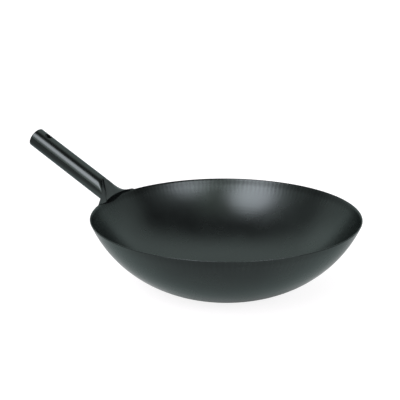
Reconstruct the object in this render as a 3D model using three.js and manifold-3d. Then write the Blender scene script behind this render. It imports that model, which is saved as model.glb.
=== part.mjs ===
// A single-handled steel wok. A pressed and hammered bowl carries a flared neck, welded to its outer wall,
// and a tube rolled from sheet is pushed over the neck's spigot and welded underneath to make the handle.
// Millimetres, +Z up. The bowl stands on z = 0 with its axis on Z, and the handle points towards -X.

import * as THREE from "three";
import { mergeVertices } from "three/addons/utils/BufferGeometryUtils.js";
import Module from "manifold-3d";

const wasm = await Module();
wasm.setup();

// Bowl
const RIM_RADIUS = 165; // outside, at the mouth
const BOWL_SHEET = 1.6; // thickness of the bowl's sheet
const WALL_ARC = 147.5; // radius of the wall's curve, outside
const RIM_SLOPE = 68.1; // how far the wall has risen from level at the rim, degrees
const BASE_FLAT = 48; // radius of the flat that the wok stands on
const BASE_CORNER = 40; // radius of the curve between base and wall, outside
const BOWL_SEGMENTS = 72;
const CORNER_STEPS = 3;
const WALL_STEPS = 12;
const EDGE_STEPS = 4;

// Handle tube
const TUBE_RADIUS = 13.45; // outside
const TUBE_WALL = 1.6;
const TUBE_LENGTH = 139.8; // along the axis, from the middle of the mouth to the tip
const TUBE_EDGE = 0.4; // chamfer on the tip's edges
const HANDLE_TILT = 28; // rise of the handle from level, degrees
const ROOT_REACH = 173.8; // from the bowl's axis to the middle of the tube's mouth
const ROOT_RISE = 0.9; // that point's height over the wall's upper edge
const MOUTH_CUT = 53.6; // the mouth's plane from a square cut, degrees: it is nearer the bowl underneath
const SEAM_GAP = 0.8; // open seam of the rolled tube, along its underside
const HANG_HOLE = 10; // diameter, through the top and the underside
const HANG_HOLE_FROM_TIP = 17.7;
const TUBE_SEGMENTS = 48;
const HOLE_SEGMENTS = 24;

// Neck
const NECK_SHEET = 1.8;
const SPIGOT_LENGTH = 14; // how far the neck reaches into the tube
const SPIGOT_PLAY = 0.3; // between spigot and tube, on the radius
const MOUTH_GROOVE = 2; // gap along the axis between the neck's shoulder and the tube's end
const FOOT_HALF_WIDTH = 48; // the neck's footprint on the bowl: an ellipse cut off by the rim
const FOOT_HALF_HEIGHT = 28;
const FOOT_DROP = 14; // the ellipse's middle under the rim
const FOOT_EDGE = 3; // width of the foot's face on the wall
const FOOT_LANDING = 28; // angle between the neck's skin and the wall where they meet, degrees
const TAKE_OFF = 20; // how long the neck follows the tube's line before it flares
const TOUCH_DOWN = 38; // how long it runs along the wall's line before its edge
const STRAIGHT_TOP = 0.8; // cosine of the angle round the neck up to which its top eases into the flare
const NECK_STEPS = 9;
const NECK_SEGMENTS = 48;

// Welds
const JOINT_GAP = 0.3; // clearance between pieces that touch
const FILLET_LEG = 3.6; // the bead's width on the bowl's wall
const FILLET_CLIMB = 0.16; // how far it climbs the neck, as a share of the neck's length
const FILLET_CROWN = 0.6; // how far its face stands proud
const FILLET_FROM = -195; // the bead runs under the neck between these angles, degrees
const FILLET_TO = 15;
const BEAD_FROM = 225; // the tube's bead lies on the underside of the joint, degrees round the tube
const BEAD_TO = 315;
const BEAD_ON_NECK = 1.1; // the bead's reach to each side of the groove's middle, along the tube
const BEAD_ON_TUBE = 2.6;
const BEAD_HEIGHT = 1.1;

// Finishes
const SATIN_BLACK = { color: 0x2b3031, roughness: 0.45, metalness: 0.8 };
const GLOSS_BLACK = { color: 0x1d2122, roughness: 0.25, metalness: 0.8 };
const WELD_BLACK = { color: 0x24282a, roughness: 0.55, metalness: 0.8 };

const QUARTER_TURN = Math.PI / 2;
const NECK_STEP = 360 / NECK_SEGMENTS; // degrees
const SAME_POINT = 1e-4; // points nearer than this are one
const NUDGE = 0.01; // small step for directions along a skin, in radians and in shares of its length
const deg = THREE.MathUtils.degToRad;

// The wall's curve has its centre off the bowl's axis, and the corner touches both it and the base plane.
const wallCentreR = RIM_RADIUS - WALL_ARC * Math.sin(deg(RIM_SLOPE));
const wallCentreZ = BASE_CORNER + Math.sqrt((WALL_ARC - BASE_CORNER) ** 2 - (BASE_FLAT - wallCentreR) ** 2);
const cornerSlope = Math.atan2(BASE_FLAT - wallCentreR, wallCentreZ - BASE_CORNER);
const rimHeight = wallCentreZ - WALL_ARC * Math.cos(deg(RIM_SLOPE));

// The handle's own directions: along the tube towards its tip, across it, and up from its axis.
const tilt = deg(HANDLE_TILT);
const outward = new THREE.Vector3(-Math.cos(tilt), 0, Math.sin(tilt));
const across = new THREE.Vector3(0, 1, 0);
const upward = new THREE.Vector3(Math.sin(tilt), 0, Math.cos(tilt));
const root = new THREE.Vector3(-ROOT_REACH, 0, rimHeight + ROOT_RISE);
const mouthSlant = Math.tan(deg(MOUTH_CUT));

// Evenly spaced numbers, both ends included.
function spread(from, to, steps) {
  return Array.from({ length: steps + 1 }, (_, i) => from + ((to - from) * i) / steps);
}

// A closed solid from rings of points: joined end to end when looped, or closed with a fan at each end.
function solidOfRings(rings, looped) {
  const count = rings[0].length;
  const points = rings.flat();
  const faces = [];
  const quad = (a, b, c, d) => faces.push(a, b, c, a, c, d);
  const bands = looped ? rings.length : rings.length - 1;
  for (let band = 0; band < bands; band++) {
    const here = band * count;
    const next = ((band + 1) % rings.length) * count;
    for (let i = 0; i < count; i++) {
      const j = (i + 1) % count;
      quad(here + i, here + j, next + j, next + i);
    }
  }
  if (!looped) {
    const last = (rings.length - 1) * count;
    for (let i = 1; i + 1 < count; i++) {
      faces.push(0, i + 1, i);
      faces.push(last, last + i, last + i + 1);
    }
  }
  const geometry = new THREE.BufferGeometry().setFromPoints(points);
  geometry.setIndex(faces);
  return geometry;
}

function manifoldOf(geometry) {
  const bare = new THREE.BufferGeometry();
  bare.setAttribute("position", geometry.getAttribute("position"));
  bare.setIndex(geometry.getIndex());
  const merged = mergeVertices(bare, SAME_POINT);
  return new wasm.Manifold(
    new wasm.Mesh({
      numProp: 3,
      vertProperties: merged.getAttribute("position").array,
      triVerts: new Uint32Array(merged.getIndex().array),
    }),
  );
}

function geometryOf(manifold) {
  const mesh = manifold.getMesh();
  const geometry = new THREE.BufferGeometry();
  geometry.setAttribute("position", new THREE.BufferAttribute(mesh.vertProperties, 3));
  geometry.setIndex(new THREE.BufferAttribute(mesh.triVerts, 1));
  return geometry;
}

function piece(name, geometry, finish) {
  geometry.computeVertexNormals();
  const mesh = new THREE.Mesh(geometry, new THREE.MeshStandardMaterial(finish));
  mesh.name = name;
  return mesh;
}

// The bowl: its outer skin from base to rim, a half-round edge, and its inner skin back to the middle.
function bowl() {
  const arc = (radius, centreR, centreZ, slope) =>
    new THREE.Vector2(centreR + radius * Math.sin(slope), centreZ - radius * Math.cos(slope));
  const cornerAt = (inset) => (slope) => arc(BASE_CORNER - inset, BASE_FLAT, BASE_CORNER, slope);
  const wallAt = (inset) => (slope) => arc(WALL_ARC - inset, wallCentreR, wallCentreZ, slope);
  const cornerSlopes = spread(0, cornerSlope, CORNER_STEPS);
  const wallSlopes = spread(cornerSlope, deg(RIM_SLOPE), WALL_STEPS).slice(1);
  const skin = (inset) => [...cornerSlopes.map(cornerAt(inset)), ...wallSlopes.map(wallAt(inset))];
  const edgeMiddle = wallAt(BOWL_SHEET / 2)(deg(RIM_SLOPE));
  const edge = spread(deg(RIM_SLOPE), deg(RIM_SLOPE) + Math.PI, EDGE_STEPS)
    .slice(1, -1)
    .map((turn) => arc(BOWL_SHEET / 2, edgeMiddle.x, edgeMiddle.y, turn));
  const profile = [
    new THREE.Vector2(0, 0),
    ...skin(0),
    ...edge,
    ...skin(BOWL_SHEET).reverse(),
    new THREE.Vector2(0, BOWL_SHEET),
  ];
  const mesh = piece("bowl", new THREE.LatheGeometry(profile, BOWL_SEGMENTS), SATIN_BLACK);
  mesh.rotation.x = QUARTER_TURN;
  return mesh;
}

// A point round the handle's axis: angle 0 is to the side and a quarter turn is the top. The distance along
// the axis is counted from the mouth's slanting plane.
function roundTube(radius, angle, along) {
  const height = radius * Math.sin(angle);
  return root
    .clone()
    .addScaledVector(outward, along + height * mouthSlant)
    .addScaledVector(across, radius * Math.cos(angle))
    .addScaledVector(upward, height);
}

// A place on the bowl's outer wall, with its normal and the level and rising directions along the wall.
function onWall(arcLength, height, standOff) {
  const slope = Math.acos((wallCentreZ - height) / WALL_ARC);
  const radius = wallCentreR + WALL_ARC * Math.sin(slope);
  const turn = arcLength / RIM_RADIUS;
  const radial = new THREE.Vector3(-Math.cos(turn), Math.sin(turn), 0);
  const normal = radial.clone().multiplyScalar(Math.sin(slope)).setZ(-Math.cos(slope));
  const level = new THREE.Vector3(Math.sin(turn), Math.cos(turn), 0);
  const rising = radial.clone().multiplyScalar(Math.cos(slope)).setZ(Math.sin(slope));
  const point = radial.clone().multiplyScalar(radius).setZ(height).addScaledVector(normal, standOff);
  return { point, normal, level, rising };
}

// Where the neck's skin meets the bowl, at an angle round the handle. An inset skin lies inside the outer.
function neckFoot(angle, inset) {
  const shrink = inset > 0 ? FOOT_EDGE : 0;
  const height = Math.min(-inset, -FOOT_DROP + (FOOT_HALF_HEIGHT - shrink) * Math.sin(angle));
  return onWall((FOOT_HALF_WIDTH - shrink) * Math.cos(angle), rimHeight + height, JOINT_GAP);
}

// The neck's skin from the tube's mouth (share 0) to the bowl (share 1): a Hermite curve that leaves along
// the tube. On top it runs straight to the rim, and at the sides and below it flares out along the wall.
function neckSkin(angle, share, inset) {
  const start = roundTube(TUBE_RADIUS - inset, angle, 0);
  const { point: end, normal, level, rising } = neckFoot(angle, inset);
  const side = THREE.MathUtils.smoothstep(Math.abs(Math.cos(angle)), 0, STRAIGHT_TOP);
  const sideways = Math.sin(angle) > 0 ? side : 1;
  const flare = level
    .clone()
    .multiplyScalar(Math.cos(angle))
    .addScaledVector(rising, Math.min(0, Math.sin(angle)))
    .normalize()
    .multiplyScalar(Math.cos(deg(FOOT_LANDING)))
    .addScaledVector(normal, -Math.sin(deg(FOOT_LANDING)));
  const straight = end.clone().sub(start).normalize();
  const landing = straight.lerp(flare, sideways).multiplyScalar(TOUCH_DOWN);
  const leaving = outward.clone().multiplyScalar(-TAKE_OFF);
  const s = share;
  return new THREE.Vector3()
    .addScaledVector(start, 2 * s ** 3 - 3 * s ** 2 + 1)
    .addScaledVector(leaving, s ** 3 - 2 * s ** 2 + s)
    .addScaledVector(end, -2 * s ** 3 + 3 * s ** 2)
    .addScaledVector(landing, s ** 3 - s ** 2);
}

// The neck: a pressed trumpet with a spigot, one skin that goes out along the outside and back inside.
function neck() {
  const angles = spread(0, 2 * Math.PI, NECK_SEGMENTS).slice(0, -1);
  const spigot = TUBE_RADIUS - TUBE_WALL - SPIGOT_PLAY;
  const bore = spigot - NECK_SHEET;
  const ring = (radius, along) => angles.map((angle) => roundTube(radius, angle, along));
  const skinRing = (share, inset) => angles.map((angle) => neckSkin(angle, share, inset));
  const shares = spread(0, 1, NECK_STEPS);
  const rings = [
    ring(bore, SPIGOT_LENGTH),
    ring(spigot, SPIGOT_LENGTH),
    ring(spigot, 0),
    ...shares.map((share) => skinRing(share, 0)),
    ...shares.toReversed().map((share) => skinRing(share, TUBE_RADIUS - bore)),
  ];
  return piece("handle_neck", solidOfRings(rings, true), SATIN_BLACK);
}

// The tube: a plain ring section, then its slanting mouth, open seam and hanging hole are cut.
function tube() {
  const reach = TUBE_RADIUS * mouthSlant;
  const inside = TUBE_RADIUS - TUBE_WALL;
  const section = [
    [inside, -reach],
    [TUBE_RADIUS, -reach],
    [TUBE_RADIUS, TUBE_LENGTH - TUBE_EDGE],
    [TUBE_RADIUS - TUBE_EDGE, TUBE_LENGTH],
    [inside + TUBE_EDGE, TUBE_LENGTH],
    [inside, TUBE_LENGTH - TUBE_EDGE],
    [inside, -reach],
  ].map(([radius, along]) => new THREE.Vector2(radius, along));
  // In the handle group the tube runs along -X.
  const rolled = new THREE.LatheGeometry(section, TUBE_SEGMENTS).rotateZ(QUARTER_TURN);
  const slab = 4 * TUBE_LENGTH;
  const mouthCut = new THREE.BoxGeometry(slab, slab, slab)
    .translate(slab / 2 - MOUTH_GROOVE * Math.cos(deg(MOUTH_CUT)), 0, 0)
    .rotateY(-deg(MOUTH_CUT));
  const seam = new THREE.BoxGeometry(slab, SEAM_GAP, TUBE_RADIUS).translate(0, 0, -TUBE_RADIUS);
  const hole = new THREE.CylinderGeometry(HANG_HOLE / 2, HANG_HOLE / 2, 4 * TUBE_RADIUS, HOLE_SEGMENTS)
    .rotateX(QUARTER_TURN)
    .translate(HANG_HOLE_FROM_TIP - TUBE_LENGTH, 0, 0);
  const cut = [mouthCut, seam, hole].reduce(
    (solid, tool) => solid.subtract(manifoldOf(tool)),
    manifoldOf(rolled),
  );
  return piece("handle_tube", geometryOf(cut), GLOSS_BLACK);
}

// The fillet weld under the neck: a bead in the corner between the neck's skin and the bowl's wall.
function neckWeld() {
  const angles = spread(FILLET_FROM, FILLET_TO, (FILLET_TO - FILLET_FROM) / NECK_STEP).map(deg);
  const rings = angles.map((angle) => {
    const foot = neckFoot(angle, 0);
    const ahead = neckFoot(angle + NUDGE, 0).point.sub(foot.point);
    const away = foot.normal.clone().cross(ahead).normalize();
    const onNeck = (share) => {
      const here = neckSkin(angle, share, 0);
      const climb = neckSkin(angle, share - NUDGE, 0).sub(here);
      const turn = neckSkin(angle + NUDGE, share, 0).sub(here);
      return here.addScaledVector(climb.cross(turn).normalize(), JOINT_GAP);
    };
    const onBowl = (leg) => foot.point.clone().addScaledVector(away, leg);
    const corner = onNeck(1).addScaledVector(away, JOINT_GAP);
    const [low, middle, high] = [1 / 3, 2 / 3, 1].map((part) => onNeck(1 - FILLET_CLIMB * part));
    const toe = onBowl(FILLET_LEG);
    const crown = high.clone().lerp(toe, 1 / 2).addScaledVector(foot.normal, FILLET_CROWN);
    return [toe, crown, high, middle, low, corner];
  });
  return piece("neck_weld", solidOfRings(rings, false), WELD_BLACK);
}

// The weld under the tube's mouth: a bead with its root in the groove and its cap on the joint.
function tubeWeld() {
  const angles = spread(BEAD_FROM, BEAD_TO, (BEAD_TO - BEAD_FROM) / NECK_STEP).map(deg);
  const middle = MOUTH_GROOVE / 2;
  const rootHalf = middle - JOINT_GAP;
  const rootDepth = TUBE_RADIUS - TUBE_WALL + JOINT_GAP;
  const seat = TUBE_RADIUS + JOINT_GAP;
  const section = [
    [-rootHalf, seat],
    [-BEAD_ON_NECK, seat],
    [-BEAD_ON_NECK / 2, seat + BEAD_HEIGHT],
    [BEAD_ON_TUBE / 2, seat + BEAD_HEIGHT],
    [BEAD_ON_TUBE, seat],
    [rootHalf, seat],
    [rootHalf, rootDepth],
    [-rootHalf, rootDepth],
  ];
  const ring = (angle) => section.map(([along, radius]) => roundTube(radius, angle, middle + along));
  return piece("tube_weld", solidOfRings(angles.map(ring), false), WELD_BLACK);
}

const handle = new THREE.Group();
handle.position.copy(root);
handle.rotation.y = tilt;
handle.add(tube());

const wok = new THREE.Group();
wok.add(bowl(), neck(), handle, neckWeld(), tubeWeld());

export default wok;
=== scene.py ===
import bpy
import numpy as np
from mathutils import Matrix


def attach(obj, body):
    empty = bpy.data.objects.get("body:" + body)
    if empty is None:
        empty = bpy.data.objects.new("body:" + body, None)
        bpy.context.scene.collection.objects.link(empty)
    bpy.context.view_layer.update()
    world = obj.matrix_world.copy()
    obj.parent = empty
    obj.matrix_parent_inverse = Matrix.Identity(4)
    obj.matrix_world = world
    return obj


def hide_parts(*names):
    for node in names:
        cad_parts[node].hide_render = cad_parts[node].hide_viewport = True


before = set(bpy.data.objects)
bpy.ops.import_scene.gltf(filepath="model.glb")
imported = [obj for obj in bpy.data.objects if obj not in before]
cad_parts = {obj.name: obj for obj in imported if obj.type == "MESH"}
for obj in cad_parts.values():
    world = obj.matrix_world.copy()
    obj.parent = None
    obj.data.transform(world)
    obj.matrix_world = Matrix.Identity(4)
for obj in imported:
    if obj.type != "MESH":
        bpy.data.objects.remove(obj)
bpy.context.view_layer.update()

mm = 0.001  # shapes are worked out in millimetres and put into Blender in metres
noiseRange = (0.3, 0.7)  # nearly all values of a noise lie between these
print("frame loaded:", ", ".join(sorted(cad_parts)))


# Cells of a grid of points as four corner numbers each; a wrapped side joins its last line to its first.
def gridCells(rows, columns, wrapRows=False, wrapColumns=False):
    i = np.arange(rows if wrapRows else rows - 1)[:, None]
    j = np.arange(columns if wrapColumns else columns - 1)[None, :]
    nextRow = (i + 1) % rows * columns
    nextColumn = (j + 1) % columns
    corners = np.broadcast_arrays(i * columns + j, i * columns + nextColumn,
                                  nextRow + nextColumn, nextRow + j)
    return np.stack(corners, -1).reshape(-1, 4)


# Triangles between one point and a closed ring of point numbers.
def fanCells(middle, ring):
    return np.stack([np.full(len(ring), middle), ring, np.roll(ring, -1)], -1)


# Points and cells become a mesh piece that rides on the part, stands for its CAD nodes and wears its
# finish.
def makePiece(name, points, cellSets, material, nodes, closed=True):
    cells = [np.asarray(c) for c in cellSets]
    if closed:  # six times the enclosed volume, by a fan of every cell; negative if faces look inwards
        volume = 0.0
        for c in cells:
            for k in range(1, c.shape[1] - 1):
                side = np.cross(points[c[:, k]], points[c[:, k + 1]])
                volume += np.einsum("ij,ij->", points[c[:, 0]], side)
        if volume < 0:
            cells = [c[:, ::-1] for c in cells]
    corners = np.concatenate([c.ravel() for c in cells])
    sides = np.concatenate([np.full(len(c), c.shape[1]) for c in cells])
    mesh = bpy.data.meshes.new(name)
    mesh.vertices.add(len(points))
    mesh.vertices.foreach_set("co", (points * mm).astype(np.float32).ravel())
    mesh.loops.add(len(corners))
    mesh.loops.foreach_set("vertex_index", corners.astype(np.int32))
    mesh.polygons.add(len(sides))
    mesh.polygons.foreach_set("loop_start", np.concatenate([[0], np.cumsum(sides)[:-1]]).astype(np.int32))
    mesh.polygons.foreach_set("use_smooth", np.ones(len(sides), bool))
    mesh.update(calc_edges=True)
    mesh.validate()
    piece = bpy.data.objects.new(name, mesh)
    bpy.context.collection.objects.link(piece)
    mesh.materials.append(material)
    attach(piece, "root")
    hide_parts(*nodes)
    print("piece", name, len(points), "points")
    return piece


# Unit vectors along the last axis.
def unit(v):
    return v / np.linalg.norm(v, axis=-1, keepdims=True)


# Smooth ramp from 0 to 1 between two values.
def ramp(x, low, high):
    t = np.clip((x - low) / (high - low), 0, 1)
    return t * t * (3 - 2 * t)


# Adds a node, gives it its settings, and sets or links its inputs.
def addNode(tree, kind, settings=None, inputs=None):
    node = tree.nodes.new(kind)
    for key, value in (settings or {}).items():
        setattr(node, key, value)
    for key, value in (inputs or {}).items():
        if isinstance(value, bpy.types.NodeSocket):
            tree.links.new(value, node.inputs[key])
        else:
            node.inputs[key].default_value = value
    return node


# An sRGB hex colour as linear red, green, blue and alpha.
def linear(hexColour):
    c = np.array([int(hexColour[k:k + 2], 16) for k in (1, 3, 5)]) / 255
    c = np.where(c <= 0.04045, c / 12.92, ((c + 0.055) / 1.055) ** 2.4)
    return (*c.tolist(), 1.0)


# An empty material with a Principled shader; gives back the material, its tree and the shader.
def startMaterial(name):
    material = bpy.data.materials.new(name)
    material.use_nodes = True
    tree = material.node_tree
    return material, tree, tree.nodes["Principled BSDF"]


# Cloudy patches in a coat, and a roughness that rises and falls with them.
def addClouds(tree, shader, place, coat):
    cloud = addNode(tree, "ShaderNodeTexNoise", None,
                    {"Vector": place, "Scale": 1 / (coat["cloud"] * mm), "Detail": 4.0}).outputs["Fac"]
    low, high = coat["roughness"]
    rough = addNode(tree, "ShaderNodeMapRange", None,
                    {"Value": cloud, "From Min": noiseRange[0], "From Max": noiseRange[1],
                     "To Min": low, "To Max": high})
    tree.links.new(rough.outputs[0], shader.inputs["Roughness"])
    return cloud


# The shader's own values, and the links to its colour and bump.
def finishCoat(tree, shader, coat, tint, bump):
    shader.inputs["Metallic"].default_value = coat["metallic"]
    shader.inputs["Specular Tint"].default_value = linear(coat["edge"])
    tree.links.new(tint.outputs[2], shader.inputs["Base Color"])
    tree.links.new(bump.outputs[0], shader.inputs["Normal"])


# Bowl and neck: carbon steel sheet, pressed and hammered, with a baked black heat-proof coat. It shows
# broad, soft highlights, fine flutes pressed into the rim, faint spun rings lower down, and a slightly
# green black. Sizes are in mm; the grit is drawn coarser than the real one, which is too fine to show.
satinCoat = {"name": "baked_black_coat_on_hammered_steel", "dark": "#383e3d", "light": "#3f4745",
             "edge": "#c6cdcc", "metallic": 0.9, "roughness": (0.23, 0.29), "cloud": 35.0,
             "rimRadius": 165.0, "rimHeight": 90.6, "insideBlend": 0.3, "paintedRimShade": 0.27, "paintedRimShadeFade": (10.0, 4.0),
             "fluteWidth": 6.1, "fluteHeight": 0.014, "paintedFluteShade": 0.36, "fluteFade": (24.0, 8.0),
             "fluteOutside": 0.4, "drift": 7.0, "driftSize": 9.0,
             "ringWidth": 3.6, "ringHeight": 0.035, "ringTurn": 3.0,
             "grit": 0.5, "gritHeight": 0.01, "gritStrength": 0.5}
# painted shade: the neck wears a darker copy of the bowl's coat
shadedNeckCoat = {**satinCoat, "name": "baked_black_coat_with_painted_shade_on_pressed_neck", "dark": "#323737", "light": "#393e3d",
            "fluteHeight": 0.0, "paintedFluteShade": 0.0, "paintedRimShade": 0.0}


def makeSatinCoat(coat):
    material, tree, shader = startMaterial(coat["name"])
    own = addNode(tree, "ShaderNodeTexCoord")
    place = own.outputs["Object"]
    axes = addNode(tree, "ShaderNodeSeparateXYZ", None, {0: place})
    flat = addNode(tree, "ShaderNodeCombineXYZ", None, {0: axes.outputs["X"], 1: axes.outputs["Y"]})
    away = addNode(tree, "ShaderNodeVectorMath", {"operation": "LENGTH"}, {0: flat.outputs[0]})
    turn = addNode(tree, "ShaderNodeVectorMath", {"operation": "NORMALIZE"}, {0: flat.outputs[0]})
    belowRim = lambda depth: (coat["rimHeight"] - depth) * mm
    # the inside faces the axis, the outside faces away from it
    facing = addNode(tree, "ShaderNodeVectorMath", {"operation": "DOT_PRODUCT"},
                     {0: own.outputs["Normal"], 1: turn.outputs[0]})
    inside = addNode(tree, "ShaderNodeMapRange", None,
                     {"Value": facing.outputs["Value"], "From Min": -coat["insideBlend"],
                      "From Max": coat["insideBlend"], "To Min": 1.0, "To Max": coat["fluteOutside"]})
    # flutes: a sine wave round the bowl whose phase drifts with a noise; it dies out below the rim, weaker
    # outside
    flutes = round(2 * np.pi * coat["rimRadius"] / coat["fluteWidth"])
    bearing = addNode(tree, "ShaderNodeMath", {"operation": "ARCTAN2"},
                      {0: axes.outputs["Y"], 1: axes.outputs["X"]})
    drift = addNode(tree, "ShaderNodeTexNoise", None,
                    {"Vector": place, "Scale": 1 / (coat["driftSize"] * mm), "Detail": 1.0})
    drift = addNode(tree, "ShaderNodeMath", {"operation": "MULTIPLY"},
                    {0: drift.outputs["Fac"], 1: coat["drift"]})
    phase = addNode(tree, "ShaderNodeMath", {"operation": "MULTIPLY_ADD"},
                    {0: bearing.outputs[0], 1: flutes, 2: drift.outputs[0]})
    wave = addNode(tree, "ShaderNodeMath", {"operation": "SINE"}, {0: phase.outputs[0]})
    nearRim = addNode(tree, "ShaderNodeMapRange", {"interpolation_type": "SMOOTHSTEP"},
                      {"Value": axes.outputs["Z"], "From Min": belowRim(coat["fluteFade"][0]),
                       "From Max": belowRim(coat["fluteFade"][1]), "To Min": 0.0, "To Max": 1.0})
    fluted = addNode(tree, "ShaderNodeMath", {"operation": "MULTIPLY"},
                     {0: wave.outputs[0], 1: nearRim.outputs[0]})
    fluted = addNode(tree, "ShaderNodeMath", {"operation": "MULTIPLY"},
                     {0: fluted.outputs[0], 1: inside.outputs[0]})
    # spun rings: noise that changes with the distance from the axis plus the height, and only slowly round
    # the axis
    ringAt = addNode(tree, "ShaderNodeMath", {"operation": "ADD"},
                     {0: away.outputs["Value"], 1: axes.outputs["Z"]})
    ringAt = addNode(tree, "ShaderNodeMath", {"operation": "DIVIDE"},
                     {0: ringAt.outputs[0], 1: coat["ringWidth"] * mm})
    ringSlow = addNode(tree, "ShaderNodeVectorMath", {"operation": "SCALE"},
                       {0: turn.outputs[0], "Scale": coat["ringTurn"]})
    ringUp = addNode(tree, "ShaderNodeCombineXYZ", None, {2: ringAt.outputs[0]})
    ringPlace = addNode(tree, "ShaderNodeVectorMath", {"operation": "ADD"},
                        {0: ringSlow.outputs[0], 1: ringUp.outputs[0]})
    rings = addNode(tree, "ShaderNodeTexNoise", None,
                    {"Vector": ringPlace.outputs[0], "Scale": 1.0, "Detail": 2.0})
    # coat: fine grit and cloudy patches, the flutes' light and shade painted in, and a painted shade inside
    # the edge
    grit = addNode(tree, "ShaderNodeTexNoise", None,
                   {"Vector": place, "Scale": 1 / (coat["grit"] * mm), "Detail": 2.0})
    cloud = addClouds(tree, shader, place, coat)
    # painted light and shade: the flute wave also tints the colour lighter and darker, beside its bump
    shade = addNode(tree, "ShaderNodeMath", {"operation": "MULTIPLY_ADD", "use_clamp": True},
                    {0: fluted.outputs[0], 1: coat["paintedFluteShade"], 2: cloud})
    tint = addNode(tree, "ShaderNodeMix", {"data_type": "RGBA"},
                   {"Factor": shade.outputs[0], 6: linear(coat["dark"]), 7: linear(coat["light"])})
    # painted shade: the inside darkens in a band just below the rim, strongest at the edge
    rimShadeBand = addNode(tree, "ShaderNodeMapRange", {"interpolation_type": "SMOOTHSTEP"},
                   {"Value": axes.outputs["Z"], "From Min": belowRim(coat["paintedRimShadeFade"][0]),
                    "From Max": belowRim(coat["paintedRimShadeFade"][1]), "To Min": 0.0, "To Max": coat["paintedRimShade"]})
    rimShadeBand = addNode(tree, "ShaderNodeMath", {"operation": "MULTIPLY"},
                   {0: rimShadeBand.outputs[0], 1: inside.outputs[0]})
    tint = addNode(tree, "ShaderNodeMix", {"data_type": "RGBA"},
                   {"Factor": rimShadeBand.outputs[0], 6: tint.outputs[2], 7: (0, 0, 0, 1)})
    bump = addNode(tree, "ShaderNodeBump", None,
                   {"Strength": 1.0, "Distance": coat["fluteHeight"] * mm, "Height": fluted.outputs[0]})
    bump = addNode(tree, "ShaderNodeBump", None,
                   {"Strength": 1.0, "Distance": coat["ringHeight"] * mm, "Height": rings.outputs["Fac"],
                    "Normal": bump.outputs[0]})
    bump = addNode(tree, "ShaderNodeBump", None,
                   {"Strength": coat["gritStrength"], "Distance": coat["gritHeight"] * mm,
                    "Height": grit.outputs["Fac"], "Normal": bump.outputs[0]})
    finishCoat(tree, shader, coat, tint, bump)
    return material


# Handle tube: smooth rolled steel under a thicker, glossier coat of the same black, with a little orange
# peel.
glossCoat = {"name": "semi_gloss_black_coat_on_rolled_tube", "dark": "#393f3d", "light": "#3f4644",
             "edge": "#bcc4c6", "metallic": 0.92, "roughness": (0.19, 0.23), "cloud": 22.0,
             "grain": 2.5, "grainDetail": 2.0, "grainHeight": 0.01, "grainStrength": 0.3}
# Weld beads: rippled steel under the same coat, rougher and with a few pits.
beadCoat = {"name": "black_coat_on_weld_bead", "dark": "#2a302f", "light": "#3b4241",
            "edge": "#ffffff", "metallic": 0.0, "roughness": (0.38, 0.55), "cloud": 6.0,
            "grain": 0.8, "grainDetail": 3.0, "grainHeight": 0.05, "grainStrength": 0.6}


# A coat of one colour in cloudy patches; a finer noise makes its orange peel or its pits.
def makePlainCoat(coat):
    material, tree, shader = startMaterial(coat["name"])
    place = addNode(tree, "ShaderNodeTexCoord").outputs["Object"]
    cloud = addClouds(tree, shader, place, coat)
    tint = addNode(tree, "ShaderNodeMix", {"data_type": "RGBA"},
                   {"Factor": cloud, 6: linear(coat["dark"]), 7: linear(coat["light"])})
    grain = addNode(tree, "ShaderNodeTexNoise", None,
                    {"Vector": place, "Scale": 1 / (coat["grain"] * mm), "Detail": coat["grainDetail"]})
    bump = addNode(tree, "ShaderNodeBump", None,
                   {"Strength": coat["grainStrength"], "Distance": coat["grainHeight"] * mm,
                    "Height": grain.outputs["Fac"]})
    finishCoat(tree, shader, coat, tint, bump)
    return material


satin = makeSatinCoat(satinCoat)
shadedNeckSatin = makeSatinCoat(shadedNeckCoat)
gloss = makePlainCoat(glossCoat)
beads = makePlainCoat(beadCoat)
print("materials made")


# Bowl: a flat base, a corner arc and a wall arc turned about Z, one sheet thick, with a half-round edge.
# Waves of the edge are given by their count round the bowl, share and start. The dentRows are the gaps between
# rings of dents over the dents' spacing, and dentStray is how far a dent strays round (in spacings) and up.
bowl = {"rimRadius": 165.0, "sheet": 1.6, "wallArc": 147.5, "rimSlope": 68.1, "baseFlat": 48.0,
        "baseCorner": 40.0, "rimRound": 0.4, "rimRoundFrom": 2.5,
        "edgeWave": 0.06, "waves": ((3, 1.0, 1), (7, 0.6, 0), (13, 0.4, 2)), "waveFade": 25.0,
        "dentDepth": 0.03, "dentRadius": 5.5, "dentSpacing": 14.0, "dentRows": 0.8,
        "dentFrom": 62.0, "dentTo": 6.0, "dentStray": (0.3, 3.0), "dentLeast": 0.4, "dentSeed": 7,
        "columns": 384, "poleRadius": 4.0, "flatRows": 12, "cornerRows": 12, "wallRows": 81, "roundRows": 8,
        "edgeRows": 9}
rimSlope = np.radians(bowl["rimSlope"])
wallR = bowl["rimRadius"] - bowl["wallArc"] * np.sin(rimSlope)
wallZ = bowl["baseCorner"] + np.sqrt((bowl["wallArc"] - bowl["baseCorner"]) ** 2
                                     - (bowl["baseFlat"] - wallR) ** 2)
cornerSlope = np.arctan2(bowl["baseFlat"] - wallR, wallZ - bowl["baseCorner"])
rimZ = wallZ - bowl["wallArc"] * np.cos(rimSlope)


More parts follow.
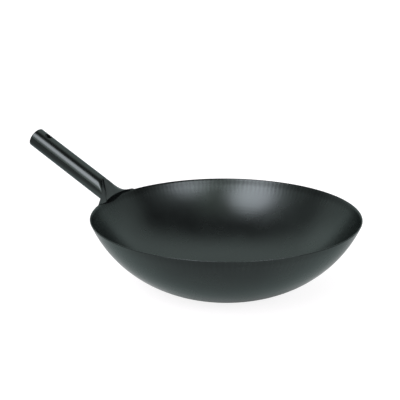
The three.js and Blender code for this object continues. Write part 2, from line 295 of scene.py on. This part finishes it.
# The outer skin from near the axis to the rim: radius, height, slope from level, and distance walked along
# it. On an arc, the radius goes with the sine of the slope and the height with its cosine.
def outerSkin():
    flatR = np.linspace(bowl["poleRadius"], bowl["baseFlat"], bowl["flatRows"])
    level = np.zeros(bowl["flatRows"])
    corner = np.linspace(0, cornerSlope, bowl["cornerRows"] + 1)[1:]
    roundFrom = rimSlope - bowl["rimRoundFrom"] / bowl["wallArc"]
    wall = np.concatenate([np.linspace(cornerSlope, roundFrom, bowl["wallRows"] + 1)[1:],
                           np.linspace(roundFrom, rimSlope, bowl["roundRows"] + 1)[1:]])
    radius = np.concatenate([flatR, bowl["baseFlat"] + bowl["baseCorner"] * np.sin(corner),
                             wallR + bowl["wallArc"] * np.sin(wall)])
    height = np.concatenate([level, bowl["baseCorner"] * (1 - np.cos(corner)),
                             wallZ - bowl["wallArc"] * np.cos(wall)])
    slope = np.concatenate([level, corner, wall])
    walked = radius[0] + np.concatenate([[0], np.cumsum(np.hypot(np.diff(radius), np.diff(height)))])
    return radius, height, slope, walked


# Hammer dents: rings of round hollows in the wall, each a bell curve over the distance from its middle,
# pushed outwards. The middles stray by seeded chance, round the bowl and up the wall.
def hammerDents(walked, radius, angles):
    chance = np.random.default_rng(bowl["dentSeed"])
    aside, up = bowl["dentStray"]
    bell = lambda distance: np.exp(-(distance / bowl["dentRadius"]) ** 2)
    dent = np.zeros((len(walked), len(angles)))
    ringStep = bowl["dentRows"] * bowl["dentSpacing"]
    for ringAt in np.arange(bowl["dentFrom"], walked[-1] - bowl["dentTo"], ringStep):
        ringRadius = np.interp(ringAt, walked, radius)
        count = int(2 * np.pi * ringRadius / bowl["dentSpacing"])
        turns = np.arange(count) + chance.uniform(-aside, aside, count)
        turns = turns * 2 * np.pi / count + chance.uniform(0, 6)
        spots = ringAt + chance.uniform(-up, up, count)
        deep = bowl["dentDepth"] * chance.uniform(bowl["dentLeast"], 1.0, count)
        across = np.angle(np.exp(1j * (angles[:, None] - turns))) * ringRadius
        dent += (bell(walked[:, None] - spots) * deep) @ bell(across).T
    return dent


# The outer skin, a half-round edge and the inner skin, set in by the sheet's thickness, are one profile
# turned about Z, with a fan of triangles at each pole. Dents push both skins out, and the edge rises and
# falls in a sum of sines.
def makeBowl():
    radius, height, slope, walked = outerSkin()
    angles = np.arange(bowl["columns"]) * 2 * np.pi / bowl["columns"]
    push = hammerDents(walked, radius, angles)
    outR, outZ = np.sin(slope)[:, None], -np.cos(slope)[:, None]  # outward normal of the sheet
    skin = lambda inset: (radius[:, None] + outR * (push - inset), height[:, None] + outZ * (push - inset))
    outerR, outerZ = skin(0.0)
    fromEdge = (walked[-1] - walked)[:, None]  # the inside is rounded off towards the edge
    thick = bowl["sheet"] - bowl["rimRound"] * np.maximum(0, 1 - fromEdge / bowl["rimRoundFrom"]) ** 2
    innerR, innerZ = skin(thick)
    bend = np.linspace(0, np.pi, bowl["edgeRows"] + 2)[1:-1][:, None]  # half round the sheet's middle
    middleR, middleZ = skin(thick / 2)
    edgeR = middleR[-1] + thick[-1] / 2 * (np.cos(bend) * np.sin(rimSlope) + np.sin(bend) * np.cos(rimSlope))
    edgeZ = middleZ[-1] + thick[-1] / 2 * (-np.cos(bend) * np.cos(rimSlope) + np.sin(bend) * np.sin(rimSlope))
    r = np.concatenate([outerR, edgeR, innerR[::-1]])
    z = np.concatenate([outerZ, edgeZ, innerZ[::-1]])
    wave = sum(share * np.sin(count * angles + start) for count, share, start in bowl["waves"])
    z = z + bowl["edgeWave"] * wave * ramp(z, rimZ - bowl["waveFade"], rimZ)
    points = np.stack([r * np.cos(angles), r * np.sin(angles), z], -1)
    rows, columns = r.shape
    poles = np.array([[0, 0, 0], [0, 0, bowl["sheet"]]])
    points = np.concatenate([points.reshape(-1, 3), poles])
    ring = np.arange(columns)
    first, last = rows * columns, rows * columns + 1
    cells = [gridCells(rows, columns, False, True), fanCells(first, ring[::-1]),
             fanCells(last, ring + (rows - 1) * columns)]
    return makePiece("bowl_sheet", points, cells, satin, ["bowl"])


makeBowl()


# Handle: its axis leaves the rim towards -X and rises. Angles round it start at the side, with a right
# angle on top.
handle = {"tubeRadius": 13.45, "tubeWall": 1.6, "length": 139.8, "tilt": 28.0, "reach": 173.8, "rise": 0.9,
          "mouthCut": 53.6, "groove": 0.6}
tilt = np.radians(handle["tilt"])
outward = np.array([-np.cos(tilt), 0, np.sin(tilt)])
across = np.array([0.0, 1.0, 0.0])
upward = np.array([np.sin(tilt), 0, np.cos(tilt)])
root = np.array([-handle["reach"], 0, rimZ + handle["rise"]])
mouthSlant = np.tan(np.radians(handle["mouthCut"]))
straightUp = np.array([0.0, 0, 1])


# A point round the handle's axis, its distance along the axis counted from the mouth's slanting plane.
def roundTube(radius, angle, along):
    radius, angle, along = np.broadcast_arrays(radius, angle, along)
    side, high = radius * np.cos(angle), radius * np.sin(angle)
    return (root + (along + high * mouthSlant)[..., None] * outward + side[..., None] * across
            + high[..., None] * upward)


# A point on the bowl's outer wall, by distance round the rim and height, with its normal and wall
# directions. The cosine of the wall's slope is the depth below the arc's centre over the arc's radius.
def onWall(arc, height, standOff):
    arc, height = np.broadcast_arrays(arc, height)
    slope = np.arccos((wallZ - height) / bowl["wallArc"])
    turn = arc / bowl["rimRadius"]
    zero = np.zeros_like(turn)
    radial = np.stack([-np.cos(turn), np.sin(turn), zero], -1)
    normal = radial * np.sin(slope)[..., None] - straightUp * np.cos(slope)[..., None]
    level = np.stack([np.sin(turn), np.cos(turn), zero], -1)
    rising = radial * np.cos(slope)[..., None] + straightUp * np.sin(slope)[..., None]
    radius = wallR + bowl["wallArc"] * np.sin(slope)
    point = radial * radius[..., None] + straightUp * height[..., None] + normal * standOff
    return point, normal, level, rising


# Neck: a pressed trumpet. Its skin is a Hermite curve from the tube's mouth to a foot line on the bowl:
# flared along the wall at the sides and below; on top it laps over the rim with a rounded lip. The takeOff
# and touchDown are given for the near and the far side.
neck = {"sheet": 1.8, "spigot": 14.0, "spigotEdge": 0.4, "play": 1.2, "shoulder": 0.5,
        "footWidth": 51.0, "footHeight": 28.2, "footDrop": 14.0, "footShift": -5.3, "footEdge": 3.0,
        "sunk": 0.05, "landing": 22.0, "takeOff": (18.8, 36.6), "touchDown": (30.7, 42.0), "farHalf": 0.3,
        "sideAt": 0.78, "flat": 0.9, "flatFrom": (0.2, 0.8),
        "riseMiddle": 2.0, "riseHalf": 34.0, "lipRise": 4.0, "overRim": 0.6, "overIn": 0.4,
        "lapMiddle": -8.0, "lapHalf": 38.0, "lapFrom": 5.0, "lap": 2.2, "lapGrowth": 0.11,
        "lipDepth": 5.2, "lipMiddle": -18.0, "lipHalf": 32.0, "lipLeast": 0.1, "lipStart": 0.1,
        "lipRound": (1.1, 0.9), "lipTuck": 2.4, "lipHidden": 0.8,
        "crease": 1.6, "creaseHalf": 1.2, "creaseAt": 121.5, "creaseSwing": 28.0, "creaseStart": (0.06, 0.18),
        "creaseEnd": 0.8, "creaseFade": 0.2,
        "columns": 320, "shoulderRows": 5, "skinFrom": 0.04, "skinRows": 60, "lipRows": 14, "boreRows": 20}


# The foot line: an oval on the outer wall; where it would pass the rim it climbs over it and becomes the
# lip's crest. Also gives how much of the lip stands at each angle and the place round the rim.
def neckFoot(angle, inset):
    shrink = neck["footEdge"] if inset > 0 else 0.0
    high = -neck["footDrop"] + (neck["footHeight"] - shrink) * np.sin(angle)
    arc = neck["footShift"] + (neck["footWidth"] - shrink) * np.cos(angle)
    point, normal, level, rising = onWall(arc, rimZ + np.minimum(-inset, high), -neck["sunk"])
    dome = lambda middle, half: np.sqrt(np.clip(1 - ((arc - middle) / half) ** 2, 0, 1)) * (inset == 0)
    over = np.clip(high / neck["overRim"], 0, 1) * (inset == 0)
    rise = over * dome(neck["riseMiddle"], neck["riseHalf"])
    lip = ramp(high, 0, neck["lapFrom"]) * dome(neck["lapMiddle"], neck["lapHalf"])
    lap = neck["lap"] + neck["lapGrowth"] * np.maximum(0, neck["lapMiddle"] - arc)
    inwards = np.cross(level, straightUp)
    point = point + inwards * (neck["overIn"] * over + lap * lip)[..., None]
    point[..., 2] += neck["overRim"] * over + neck["lipRise"] * rise
    return point, normal, level, rising, lip, arc


# Hermite curve: leaves the tube along its axis and touches down along the flare, or straight to the lip in
# the middle of the top.
def neckSkin(angle, share, inset):
    angle, share = np.broadcast_arrays(angle, share)
    start = roundTube(handle["tubeRadius"] - inset, angle, 0.0)
    end, normal, level, rising = neckFoot(angle, inset)[:4]
    sideways = np.where(np.sin(angle) > 0, ramp(np.abs(np.cos(angle)), 0, neck["sideAt"]), 1.0)[..., None]
    landing = np.radians(neck["landing"])
    flare = unit(level * np.cos(angle)[..., None] + rising * np.minimum(0, np.sin(angle))[..., None])
    flare = flare * np.cos(landing) - normal * np.sin(landing)
    far = ramp(np.cos(angle), -neck["farHalf"], neck["farHalf"])[..., None]
    takeOff, touchDown = (a * (1 - far) + b * far for a, b in (neck["takeOff"], neck["touchDown"]))
    onTop = ramp(np.sin(angle), *neck["flatFrom"]) * (1 - ramp(np.cos(angle), 0, neck["farHalf"]))
    takeOff = takeOff * (1 - neck["flat"] * onTop)[..., None]
    touch = (unit(end - start) * (1 - sideways) + flare * sideways) * touchDown
    s = share[..., None]
    skin = (start * (2 * s ** 3 - 3 * s ** 2 + 1) - outward * takeOff * (s ** 3 - 2 * s ** 2 + s)
            + end * (3 * s ** 2 - 2 * s ** 3) + touch * (s ** 3 - s ** 2))
    if inset == 0:
        skin = skin - neckCrease(skin, angle, share)
    return skin


# The crease beside the flat top: a narrow bell-shaped furrow along a line that swings from the top of the
# mouth to the side.
def neckCrease(skin, angle, share):
    swing = neck["creaseSwing"] * np.maximum(0, 1 - share / neck["creaseEnd"]) ** 2
    line = np.radians(neck["creaseAt"] - swing)
    spoke = skin - root
    spoke = spoke - (spoke @ outward)[..., None] * outward
    reach = np.linalg.norm(spoke, axis=-1)
    off = (angle - line) * reach
    deep = neck["crease"] * np.exp(-(off / neck["creaseHalf"]) ** 2) * ramp(share, *neck["creaseStart"])
    deep = deep * (1 - ramp(share, neck["creaseEnd"] - neck["creaseFade"], neck["creaseEnd"]))
    return (deep / reach)[..., None] * spoke


# The lip's inner face: a Bezier curve from its crest, over a small round and down to the bowl's inner wall;
# where there is no lip it lies inside the bowl's sheet.
def lipFace(angle, s):
    crest, normal, level, rising, lip, arc = neckFoot(angle, 0.0)
    bow = 1 - ((arc - neck["lipMiddle"]) / neck["lipHalf"]) ** 2
    depth = neck["lipDepth"] * np.clip(bow, neck["lipLeast"], 1)
    inner = onWall(arc, rimZ - lip * depth, neck["sunk"] - bowl["sheet"])[0]
    onTop = np.clip(lip / neck["lipStart"], 0, 1)[:, None]
    bottom = inner * onTop + (crest - normal * neck["lipHidden"]) * (1 - onTop)
    inwards, lip = np.cross(level, straightUp), lip[:, None]
    first = crest + (inwards * neck["lipRound"][0] - straightUp * neck["lipRound"][1]) * lip
    second = bottom + rising * neck["lipTuck"] * lip
    return ((1 - s) ** 3 * crest + 3 * (1 - s) ** 2 * s * first + 3 * (1 - s) * s ** 2 * second
            + s ** 3 * bottom)


# The neck's surface goes out along the outside, over the lip, and back along the inside to the spigot in
# the tube.
def makeNeck():
    angles = np.arange(neck["columns"]) * 2 * np.pi / neck["columns"]
    spigot = handle["tubeRadius"] - handle["tubeWall"] - neck["play"]
    bore = spigot - neck["sheet"]
    ring = lambda radius, along: roundTube(radius, angles, along)
    edge = neck["shoulder"]
    turn = np.linspace(0, np.pi / 2, neck["shoulderRows"])
    shoulder = [ring(handle["tubeRadius"] - edge + edge * np.sin(t), -edge + edge * np.cos(t)) for t in turn]
    outside = [neckSkin(angles, s, 0.0) for s in np.linspace(neck["skinFrom"], 1, neck["skinRows"])]
    lip = [lipFace(angles, s) for s in np.linspace(0, 1, neck["lipRows"] + 1)[1:]]
    inside = [neckSkin(angles, s, handle["tubeRadius"] - bore) for s in np.linspace(1, 0, neck["boreRows"])]
    end, soft = neck["spigot"], neck["spigotEdge"]
    rings = [ring(bore, end), ring(bore + soft, end + soft), ring(spigot - soft, end + soft),
             ring(spigot, end), ring(spigot, 0.0), *shoulder, *outside, *lip, *inside]
    points = np.stack(rings)
    cells = [gridCells(len(rings), len(angles), True, True)]
    return makePiece("handle_neck_pressing", points.reshape(-1, 3), cells, shadedNeckSatin,
                     ["handle_neck"])


makeNeck()


# Tube: a flat sheet with holes, rolled up. The sheet is meshed in its own plane (distance round, distance
# along) as blocks that share their border points, then each point is bent round the axis.
tube = {"seam": 0.8, "hole": 10.0, "holeFromTip": 17.7, "patch": 9.0, "drawnIn": 1.1, "drawnFrom": 5.5,
        "edge": 0.35, "edgeSteps": 3, "edgeAngle": 50.0, "patchSteps": 16, "gapSteps": 22, "holeSteps": 8,
        "mouthSteps": 8, "lengthSteps": 40, "tipSteps": 6}


# A block of points between two lines of points, in equal steps.
def blockBetween(first, second, steps):
    t = np.linspace(0, 1, steps + 1)[:, None, None]
    return first * (1 - t) + second * t


# Points along a run of straight lines between corners, in equal steps on each line.
def stepsAlong(corners, steps):
    lines = [np.linspace(a, b, n + 1)[:-1] for a, b, n in zip(corners[:-1], corners[1:], steps)]
    return np.concatenate([*lines, [corners[-1]]])


# The sheet has a square patch round the upper hole and half a patch at each seam edge round the lower one.
# A place on the sheet becomes an angle of its distance round over the radius, and the radius draws in
# towards the mouth.
def makeTube():
    r, p, holeR = handle["tubeRadius"], tube["patch"], tube["hole"] / 2
    half = np.pi * r - tube["seam"] / 2
    holeAt = handle["length"] - tube["holeFromTip"]
    n, m = tube["patchSteps"], tube["patchSteps"] // 2
    side = np.linspace(-p, p, n + 1)
    square = stepsAlong([(-p, -p), (p, -p), (p, p), (-p, p), (-p, -p)], [n] * 4)
    right = stepsAlong([(0, -p), (p, -p), (p, p), (0, p)], [m, n, m])
    # the hole is drilled through the rolled sheet, so its width on the flat sheet is an arc
    turn = np.arctan2(square[:, 1], square[:, 0])
    circle = np.stack([r * np.arcsin(holeR * np.cos(turn) / r), holeR * np.sin(turn)], -1)
    topPatch = blockBetween(circle, square, tube["holeSteps"]) + [0, holeAt]
    turn = np.arctan2(right[:, 1], right[:, 0])
    arc = np.maximum(0, r * np.arcsin(holeR * np.cos(turn) / r) - tube["seam"] / 2)
    lowPatch = blockBetween(np.stack([arc, holeR * np.sin(turn)], -1), right, tube["holeSteps"])
    leftPatch = lowPatch + [-half, holeAt]
    rightPatch = lowPatch * [-1, 1] + [half, holeAt]
    # columns of the whole sheet
    between = np.linspace(-half + p, -p, tube["gapSteps"] + 1)
    columns = np.concatenate([np.linspace(-half, -half + p, m + 1)[:-1], between[:-1], side[:-1],
                              -between[::-1][:-1], np.linspace(half - p, half, m + 1)])
    angleOf = lambda around: np.pi / 2 - around / r
    mouth = r * np.sin(angleOf(columns)) * mouthSlant + handle["groove"]
    line = lambda along: np.stack([columns, np.broadcast_to(along, columns.shape)], -1)
    drawnFrom = mouth + tube["drawnFrom"]
    blocks = [blockBetween(line(mouth), line(drawnFrom), tube["mouthSteps"]),
              blockBetween(line(drawnFrom), line(holeAt - p), tube["lengthSteps"]),
              blockBetween(line(holeAt + p), line(handle["length"]), tube["tipSteps"])]
    for edges in (between, -between[::-1]):
        blocks.append(np.stack(np.meshgrid(edges, side + holeAt, indexing="ij"), -1))
    blocks += [topPatch, leftPatch, rightPatch]
    flat, cells, start = [], [], 0
    for block in blocks:
        rows, width = block.shape[:2]
        flat.append(block.reshape(-1, 2))
        cells.append(gridCells(rows, width) + start)
        start += rows * width
    flat = np.concatenate(flat)
    _, keep, same = np.unique(np.round(flat, 4), axis=0, return_index=True, return_inverse=True)
    flat, cells = flat[keep], same.reshape(-1)[np.concatenate(cells)]
    angle = angleOf(flat[:, 0])
    fromMouth = flat[:, 1] - np.interp(flat[:, 0], columns, mouth)
    bent = r - tube["drawnIn"] * np.maximum(0, 1 - fromMouth / tube["drawnFrom"]) ** 2
    points = (root + flat[:, 1:2] * outward + (bent * np.cos(angle))[:, None] * across
              + (bent * np.sin(angle))[:, None] * upward)
    # cells that look inwards are turned over
    corner = points[cells]
    facing = np.cross(corner[:, 2] - corner[:, 0], corner[:, 3] - corner[:, 1])
    out = np.cos(angle)[cells].mean(1)[:, None] * across + np.sin(angle)[cells].mean(1)[:, None] * upward
    wrong = np.einsum("ij,ij->i", facing, out) < 0
    cells[wrong] = cells[wrong][:, ::-1]
    piece = makePiece("handle_tube_rolled", points, [cells], gloss, ["handle_tube"],
                      closed=False)
    wall = piece.modifiers.new("wall", "SOLIDIFY")
    wall.thickness = handle["tubeWall"] * mm
    wall.offset = -1
    rounding = piece.modifiers.new("rounding", "BEVEL")
    rounding.width = tube["edge"] * mm
    rounding.segments = tube["edgeSteps"]
    rounding.limit_method = "ANGLE"
    rounding.angle_limit = np.radians(tube["edgeAngle"])
    return piece


makeTube()


# A bead from its rings of points: a grid wrapped round the bead, closed by a fan of triangles at each end.
def makeBead(name, rings, node):
    rows, width = rings.shape[:2]
    points = np.concatenate([rings.reshape(-1, 3), rings[[0, -1]].mean(1)])
    ring = np.arange(width)
    cells = [gridCells(rows, width, False, True), fanCells(rows * width, ring[::-1]),
             fanCells(rows * width + 1, ring + (rows - 1) * width)]
    return makePiece(name, points, cells, beads, [node])


# Fillet weld under the neck: a bead whose face bulges from the wall to the neck, with ripples curved like
# fish scales.
fillet = {"from": -195.0, "to": 15.0, "leg": 3.6, "climb": 0.16, "crown": 0.5, "lean": 0.4, "taper": 3.0,
          "sunk": (0.9, 0.6), "ripple": 2.4, "rippleHeight": 0.14, "rippleBow": 0.5,
          "steps": 520, "acrossSteps": 13}


# The face is a straight line from the toe on the wall to the neck's skin, plus a parabola that bulges
# outwards. Its height has a sine along the foot, whose phase runs ahead in the middle, and tapers at both
# ends.
def makeNeckWeld():
    angles = np.radians(np.linspace(fillet["from"], fillet["to"], fillet["steps"]))
    foot, normal = neckFoot(angles, 0.0)[:2]
    ahead = unit(np.gradient(foot, axis=0))
    away = unit(np.cross(normal, ahead))
    toe = foot + away * fillet["leg"]
    high = neckSkin(angles, np.full_like(angles, 1 - fillet["climb"]), 0.0)
    walked = np.concatenate([[0], np.cumsum(np.linalg.norm(np.diff(foot, axis=0), axis=1))])
    share = np.linspace(0, 1, fillet["acrossSteps"])
    bulge = 4 * share * (1 - share)
    phase = 2 * np.pi * (walked[:, None] / fillet["ripple"] + fillet["rippleBow"] * bulge)
    height = fillet["crown"] + fillet["rippleHeight"] * np.sin(phase)
    ends = ramp(walked, 0, fillet["taper"]) * ramp(walked[-1] - walked, 0, fillet["taper"])
    face = (toe[:, None] * (1 - share)[:, None] + high[:, None] * share[:, None]
            + (unit(normal + away * fillet["lean"])[:, None] * (bulge * height * ends[:, None])[..., None]))
    inNeck, inWall = fillet["sunk"]
    under = np.stack([high - normal * inNeck, foot - normal * inWall, toe - normal * inWall], 1)
    return makeBead("neck_weld_bead", np.concatenate([face, under], 1), "neck_weld")


makeNeckWeld()


# Weld under the tube's mouth: a low bead over the groove, rippled, thinning out at both ends.
mouthBead = {"from": 222.0, "to": 318.0, "onNeck": 1.4, "onTube": 2.9, "height": 1.1, "taper": 4.0,
             "stretch": 1.3, "sunk": 0.3, "rootHalf": 0.2, "rootAbove": 0.2,
             "ripple": 1.9, "rippleHeight": 0.16, "rippleBow": 0.6, "steps": 240, "acrossSteps": 13}


# The face stands off the tube by half an ellipse across the groove, times a height with a sine along the
# bead and a taper at both ends. The back goes down into the groove.
def makeTubeWeld():
    angles = np.radians(np.linspace(mouthBead["from"], mouthBead["to"], mouthBead["steps"]))
    share = np.linspace(0, 1, mouthBead["acrossSteps"])
    bulge = np.sqrt(np.maximum(0, 4 * share * (1 - share)))
    middle, radius = handle["groove"] / 2, handle["tubeRadius"]
    walked = (angles - angles[0]) * radius * mouthBead["stretch"]  # the slanting mouth is longer
    ends = ramp(walked, 0, mouthBead["taper"]) * ramp(walked[-1] - walked, 0, mouthBead["taper"])
    phase = 2 * np.pi * (walked[:, None] / mouthBead["ripple"] + mouthBead["rippleBow"] * bulge)
    height = (mouthBead["height"] + mouthBead["rippleHeight"] * np.sin(phase)) * ends[:, None] * bulge
    along = middle - mouthBead["onNeck"] + (mouthBead["onNeck"] + mouthBead["onTube"]) * share
    face = roundTube(radius + height, angles[:, None], along[None, :])
    low, wide = radius - handle["tubeWall"] + mouthBead["rootAbove"], mouthBead["rootHalf"]
    back = np.array([middle + mouthBead["onTube"], middle + wide, middle - wide,
                     middle - mouthBead["onNeck"]])
    depth = np.array([radius - mouthBead["sunk"], low, low, radius - mouthBead["sunk"]])
    under = roundTube(depth[None, :], angles[:, None], back[None, :])
    return makeBead("tube_weld_bead", np.concatenate([face, under], 1), "tube_weld")


makeTubeWeld()
print("pieces made")


# Camera: distance and angles from the photograph's rim and handle, aimed past the rim's middle.
photoView = {"distance": 904.5, "elevation": 17.525, "turn": 27.59, "yaw": -1.982, "pitch": 1.028,
             "roll": 0.326, "lens": 66.195, "sensor": 36.0, "farthest": 200.0}


# The eye stands at its distance from the rim's middle, raised by the elevation. It looks at that middle,
# swung by the yaw and pitch and rolled, and the whole is then turned about Z.
def placeCamera():
    lift, yaw, pitch, roll = (np.radians(photoView[k]) for k in ("elevation", "yaw", "pitch", "roll"))
    eye = photoView["distance"] * np.array([0, -np.cos(lift), np.sin(lift)])
    ahead, right = -unit(eye), np.array([1.0, 0, 0])
    over = np.cross(right, ahead)
    look = ahead * np.cos(yaw) * np.cos(pitch) + right * np.sin(yaw) * np.cos(pitch) + over * np.sin(pitch)
    level = unit(np.cross(look, straightUp))
    stand = np.cross(level, look)
    x = np.cos(roll) * level - np.sin(roll) * stand
    y = np.sin(roll) * level + np.cos(roll) * stand
    turn = Matrix.Rotation(np.radians(photoView["turn"]), 4, "Z")
    pose = Matrix.Identity(4)
    for row in range(3):
        pose[row][:] = (x[row], y[row], -look[row], eye[row] * mm)
    data = bpy.data.cameras.new("photo_camera")
    data.sensor_width = photoView["sensor"]
    data.lens = photoView["lens"]
    data.clip_end = photoView["farthest"]
    camera = bpy.data.objects.new("photo_camera", data)
    bpy.context.collection.objects.link(camera)
    camera.matrix_world = Matrix.Translation((0, 0, rimZ * mm)) @ turn @ pose
    bpy.context.scene.camera = camera


placeCamera()


# Studio: a plain pale floor and a surround with soft lamps in it. The camera sees a white backdrop and the
# floor's glow, with the object's shadow in it. Reflections see the glow as a painted pool of light that fades
# out in front and at both sides, and under the bowl as a painted contact shadow; and a surround that goes from
# a pale horizon to a dark ceiling. Lengths are in metres.
studio = {"floor": "#959595", "floorSize": 60.0, "floorDrop": 0.0004, "floorRoughness": 0.95,
          "floorGlow": 0.82, "paintedContactShadow": (0.044, 0.118), "paintedContactShadowRight": 0.01, "mirrored": 0.97,
          "poolFront": (0.07, 0.2), "poolRest": 0.35, "poolSide": (0.15, 0.52), "poolLeft": 0.055,
          "poolWiden": 0.6, "fill": 0.25, "horizon": 0.15, "dark": 0.02, "dimFrom": 0.25}
# each lamp: bearing from the camera (right is positive), height, width at half strength and width of its
# soft edge, all in degrees, then its strength and colour
lamps = {"key": (-31.4, 42.2, 33.0, 15.0, 6.1, "#fff1ff"),
         "side": (37.0, 21.5, 29.0, 22.0, 4.9, "#fff1ff"),
         "under the key": (-38.0, 14.0, 22.0, 18.0, 1.8, "#ffffff"),
         "front": (2.0, 40.0, 40.0, 36.0, 0.63, "#f8fff2"),
         "beside the key": (-46.0, 39.0, 36.0, 32.0, 0.38, "#ffffff"),
         "beside the side": (50.0, 21.0, 36.0, 32.0, 0.6, "#ffffff"),
         "between": (12.0, 17.0, 24.0, 20.0, 1.5, "#ffffff"),
         "left": (-92.0, 28.0, 44.0, 40.0, 0.24, "#ffffff"),
         "back": (178.0, 36.0, 83.0, 31.0, 1.1, "#ffffff"),
         "back left": (231.0, 16.0, 30.0, 28.0, 0.6, "#ffffff"),
         "back right": (140.0, 9.0, 28.0, 26.0, 0.3, "#ffffff"),
         "right": (112.0, 22.5, 20.0, 19.0, 0.6, "#ffffff")}


# 1 for rays of the camera and what is seen through glass, a given share for reflections, 0 for light that
# falls on surfaces.
def seenDirectly(tree, mirrored):
    path = addNode(tree, "ShaderNodeLightPath")
    glossy = addNode(tree, "ShaderNodeMath", {"operation": "MULTIPLY"},
                     {0: path.outputs["Is Glossy Ray"], 1: mirrored})
    seen = addNode(tree, "ShaderNodeMath", {"operation": "MAXIMUM"},
                   {0: path.outputs["Is Camera Ray"], 1: glossy.outputs[0]})
    return addNode(tree, "ShaderNodeMath", {"operation": "MAXIMUM"},
                   {0: seen.outputs[0], 1: path.outputs["Is Transmission Ray"]}).outputs[0]


# A soft lamp in the surround: a round patch of light that fades smoothly across its edge.
def softLamp(tree, way, bearing, height, width, edge, strength, colour):
    turn, lift = np.radians(bearing + photoView["turn"]), np.radians(height)
    aim = (float(np.sin(turn) * np.cos(lift)), float(-np.cos(turn) * np.cos(lift)), float(np.sin(lift)))
    outer, inner = (float(np.cos(np.radians((width + k * edge) / 2))) for k in (1, -1))
    along = addNode(tree, "ShaderNodeVectorMath", {"operation": "DOT_PRODUCT"}, {0: way, 1: aim})
    patch = addNode(tree, "ShaderNodeMapRange", {"interpolation_type": "SMOOTHSTEP"},
                    {"Value": along.outputs["Value"], "From Min": outer, "From Max": inner, "To Min": 0.0,
                     "To Max": strength})
    return addNode(tree, "ShaderNodeBackground", None,
                   {"Color": linear(colour), "Strength": patch.outputs[0]})


# The floor is a square just under the object. Its glow in reflections is a painted pool of light, a product of
# three smooth fades: forwards, sideways (wider behind the object) and with the distance from under the bowl,
# which is a painted contact shadow.
def makeFloor():
    size, low = studio["floorSize"], -studio["floorDrop"]
    mesh = bpy.data.meshes.new("floor")
    mesh.from_pydata([(-size, -size, low), (size, -size, low), (size, size, low), (-size, size, low)], [],
                     [(0, 1, 2, 3)])
    floor = bpy.data.objects.new("floor", mesh)
    bpy.context.collection.objects.link(floor)
    material, tree, shader = startMaterial("matt_pale_floor")
    shader.inputs["Base Color"].default_value = linear(studio["floor"])
    shader.inputs["Roughness"].default_value = studio["floorRoughness"]
    shader.inputs["Specular IOR Level"].default_value = 0.0
    shader.inputs["Emission Color"].default_value = (1, 1, 1, 1)
    turn = np.radians(photoView["turn"])
    toRight = np.array([np.cos(turn), np.sin(turn), 0.0])
    toFront = np.array([np.sin(turn), -np.cos(turn), 0.0])
    place = addNode(tree, "ShaderNodeTexCoord").outputs["Object"]
    forward, sideways = (addNode(tree, "ShaderNodeVectorMath", {"operation": "DOT_PRODUCT"},
                                 {0: place, 1: way.tolist()}).outputs["Value"] for way in (toFront, toRight))
    sideways = addNode(tree, "ShaderNodeMath", {"operation": "ADD"}, {0: sideways, 1: studio["poolLeft"]})
    sideways = addNode(tree, "ShaderNodeMath", {"operation": "ABSOLUTE"}, {0: sideways.outputs[0]})
    behind = addNode(tree, "ShaderNodeMath", {"operation": "MINIMUM"}, {0: forward, 1: 0.0})
    spread = addNode(tree, "ShaderNodeMath", {"operation": "MULTIPLY_ADD"},
                     {0: behind.outputs[0], 1: studio["poolWiden"], 2: sideways.outputs[0]})
    # painted contact shadow: the glow seen in reflections fades out under the bowl
    under = addNode(tree, "ShaderNodeVectorMath", {"operation": "DISTANCE"},
                    {0: place, 1: (toRight * studio["paintedContactShadowRight"]).tolist()})
    fades = [addNode(tree, "ShaderNodeMapRange", {"interpolation_type": "SMOOTHSTEP"},
                     {"Value": value, "From Min": near, "From Max": far, "To Min": 1.0,
                      "To Max": rest}).outputs[0]
             for value, (near, far), rest in ((forward, studio["poolFront"], studio["poolRest"]),
                                              (spread.outputs[0], studio["poolSide"], 0.0),
                                              (under.outputs["Value"], studio["paintedContactShadow"][::-1], 0.0))]
    pool = studio["mirrored"]
    for fade in fades:
        pool = addNode(tree, "ShaderNodeMath", {"operation": "MULTIPLY"}, {0: fade, 1: pool}).outputs[0]
    glow = addNode(tree, "ShaderNodeMath", {"operation": "MULTIPLY"},
                   {0: seenDirectly(tree, pool), 1: studio["floorGlow"]})
    tree.links.new(glow.outputs[0], shader.inputs["Emission Strength"])
    mesh.materials.append(material)


# The surround: an even fill for light that falls on surfaces, a fade with height for reflections, white for
# the camera, and the lamps added to them.
def makeSurround():
    world = bpy.data.worlds.new("studio")
    bpy.context.scene.world = world
    world.use_nodes = True
    tree = world.node_tree
    tree.nodes.clear()
    way = addNode(tree, "ShaderNodeTexCoord").outputs["Generated"]
    axes = addNode(tree, "ShaderNodeSeparateXYZ", None, {0: way})
    fade = addNode(tree, "ShaderNodeMapRange", {"interpolation_type": "SMOOTHSTEP"},
                   {"Value": axes.outputs["Z"], "From Min": 0.0, "From Max": studio["dimFrom"],
                    "To Min": studio["horizon"], "To Max": studio["dark"]})
    level = addNode(tree, "ShaderNodeMix", {"data_type": "FLOAT"},
                    {0: seenDirectly(tree, 1.0), 2: studio["fill"], 3: fade.outputs[0]})
    camera = addNode(tree, "ShaderNodeLightPath").outputs["Is Camera Ray"]
    level = addNode(tree, "ShaderNodeMath", {"operation": "MAXIMUM"}, {0: level.outputs[0], 1: camera})
    light = addNode(tree, "ShaderNodeBackground", None, {"Color": (1, 1, 1, 1), "Strength": level.outputs[0]})
    for lamp in lamps.values():
        light = addNode(tree, "ShaderNodeAddShader", None,
                        {0: light.outputs[0], 1: softLamp(tree, way, *lamp).outputs[0]})
    addNode(tree, "ShaderNodeOutputWorld", None, {0: light.outputs[0]})


makeFloor()
makeSurround()
bpy.context.scene.view_settings.view_transform = "Standard"
print("studio made:", len(lamps), "lamps")
